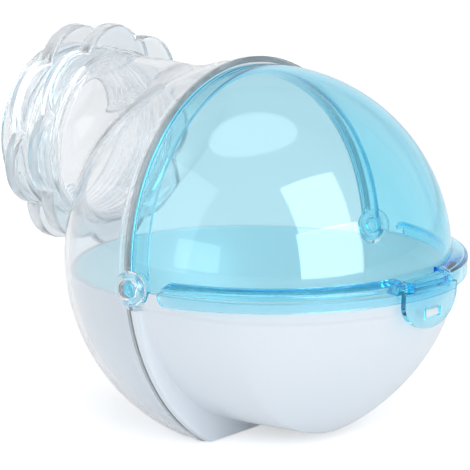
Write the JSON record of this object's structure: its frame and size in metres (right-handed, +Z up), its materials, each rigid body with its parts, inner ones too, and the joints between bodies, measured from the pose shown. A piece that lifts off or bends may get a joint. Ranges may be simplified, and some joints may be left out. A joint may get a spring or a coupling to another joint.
{
  "type": "hamster bath pod",
  "caption": "Ball-shaped hamster sand bath for the outside of a cage: clear back shell with a clamp tube, white bowl, and a blue visor that rolls back and latches shut.",
  "frame": {"origin": "middle of the pod's footprint box, on the surface the pod stands on", "axes": "+Z up, -Y towards the visor's latch, +Y towards the connector tube, X along the visor's pivots"},
  "size_m": [0.1268, 0.1538, 0.12],
  "materials": {
    "clear": "clear polished polystyrene",
    "white": "semi-gloss moulded white",
    "blue": "clear tinted light blue, polished"
  },
  "bodies": {
    "pod": {"back_shell": "clear", "sand_bowl": "white", "connector_tube": "clear"},
    "visor": {"visor": "blue"},
    "latch": {"latch": "blue"},
    "front_nut": {"front_nut": "clear"},
    "rear_nut": {"rear_nut": "clear"}
  },
  "joints": [
    {"name": "visor_hinge", "type": "hinge", "parent": "pod", "child": "visor", "pos_m": [0, -0.01008, 0.0534], "axis": [-1, 0, 0], "range_deg": [0, 70]},
    {"name": "latch_hinge", "type": "hinge", "parent": "visor", "child": "latch", "pos_m": [0, -0.07188, 0.05455], "axis": [-1, 0, 0], "range_deg": [0, 90]},
    {"name": "front_nut_turn", "type": "hinge", "parent": "pod", "child": "front_nut", "pos_m": [0, 0.05098, 0.08319], "axis": [0, 0.999, 0.0436], "continuous": true},
    {"name": "rear_nut_turn", "type": "hinge", "parent": "pod", "child": "rear_nut", "pos_m": [0, 0.06157, 0.08365], "axis": [0, 0.999, 0.0436], "continuous": true}
  ]
}
